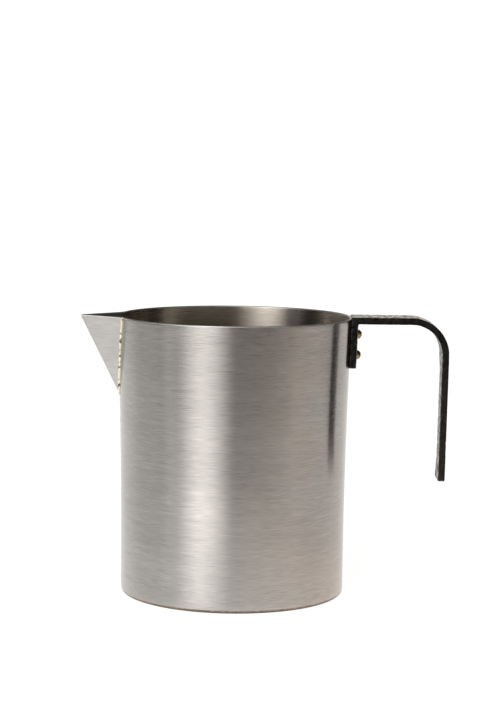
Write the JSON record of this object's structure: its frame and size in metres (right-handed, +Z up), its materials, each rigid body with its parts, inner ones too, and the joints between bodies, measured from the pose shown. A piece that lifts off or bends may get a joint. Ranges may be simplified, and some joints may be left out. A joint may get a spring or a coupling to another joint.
{
  "type": "candle melting pot",
  "caption": "Steel pouring pot for melting wax, with a slightly flared wall, a folded V-shaped spout brazed to the rim and a rigid flat-bar handle riveted on opposite.",
  "frame": {"origin": "centre of the underside, on the pot's axis", "axes": "+Z up along the pot's axis, +X from the axis towards the handle, -X towards the spout (turned 3 degrees towards -Y), Y across"},
  "size_m": [0.178, 0.1132, 0.1354],
  "materials": {
    "wall_steel": "brushed round the pot, satin",
    "base_steel": "brushed, satin",
    "spout_steel": "brushed, satin",
    "braze_alloy": "pale gold, uneven, pitted",
    "base_braze_alloy": "brown, filed smooth",
    "forged_black": "hammered, waxed black",
    "rivet_brass": "domed, slightly tarnished"
  },
  "bodies": {
    "root": {"body_wall": "wall_steel", "wall_seam": "braze_alloy", "base_disc": "base_steel", "base_braze": "base_braze_alloy", "spout": "spout_steel", "spout_braze": "braze_alloy", "handle_bar": "forged_black", "rivet_upper": "rivet_brass", "rivet_lower": "rivet_brass"}
  },
  "joints": []
}
